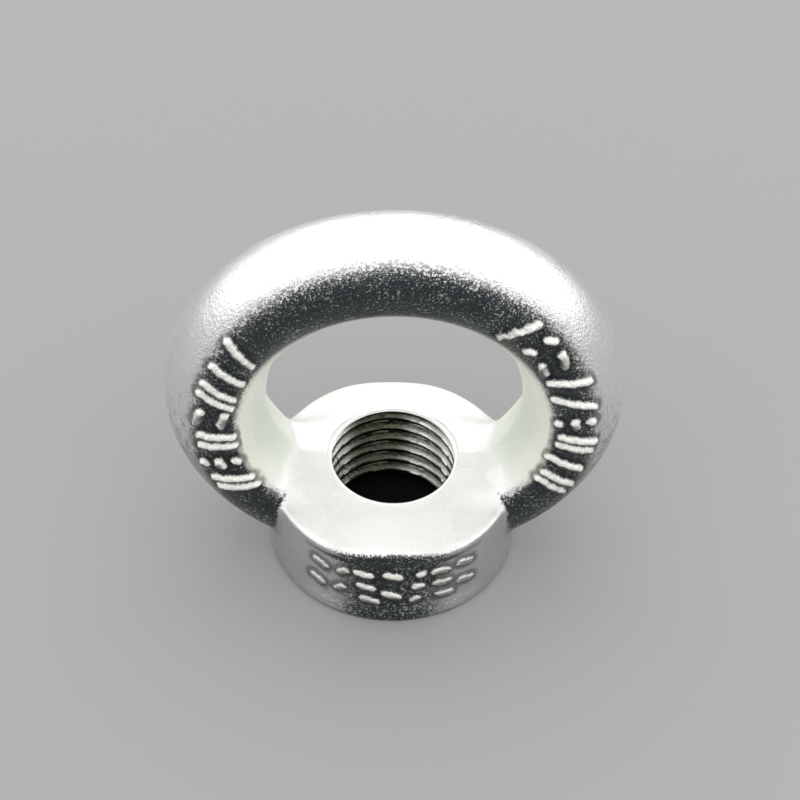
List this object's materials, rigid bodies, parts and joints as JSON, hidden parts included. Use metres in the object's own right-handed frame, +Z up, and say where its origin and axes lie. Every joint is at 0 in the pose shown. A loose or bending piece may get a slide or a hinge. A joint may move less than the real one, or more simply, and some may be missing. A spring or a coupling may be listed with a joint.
{
  "type": "lifting eye nut",
  "caption": "Forged lifting eye nut: a round ring on a thick round collar that is tapped through, for lifting a load from its stud.",
  "frame": {"origin": "centre of the flat seat under the collar, on the thread axis", "axes": "+Z up along the thread axis, from the seat to the top of the ring; the ring lies in the XZ plane and the eye opens along Y; front is -Y"},
  "size_m": [0.0714, 0.0388, 0.0697],
  "materials": {
    "zinc_steel": "bright zinc plated drop forging, slightly grainy"
  },
  "bodies": {
    "root": {"eye_nut": "zinc_steel"}
  },
  "joints": []
}
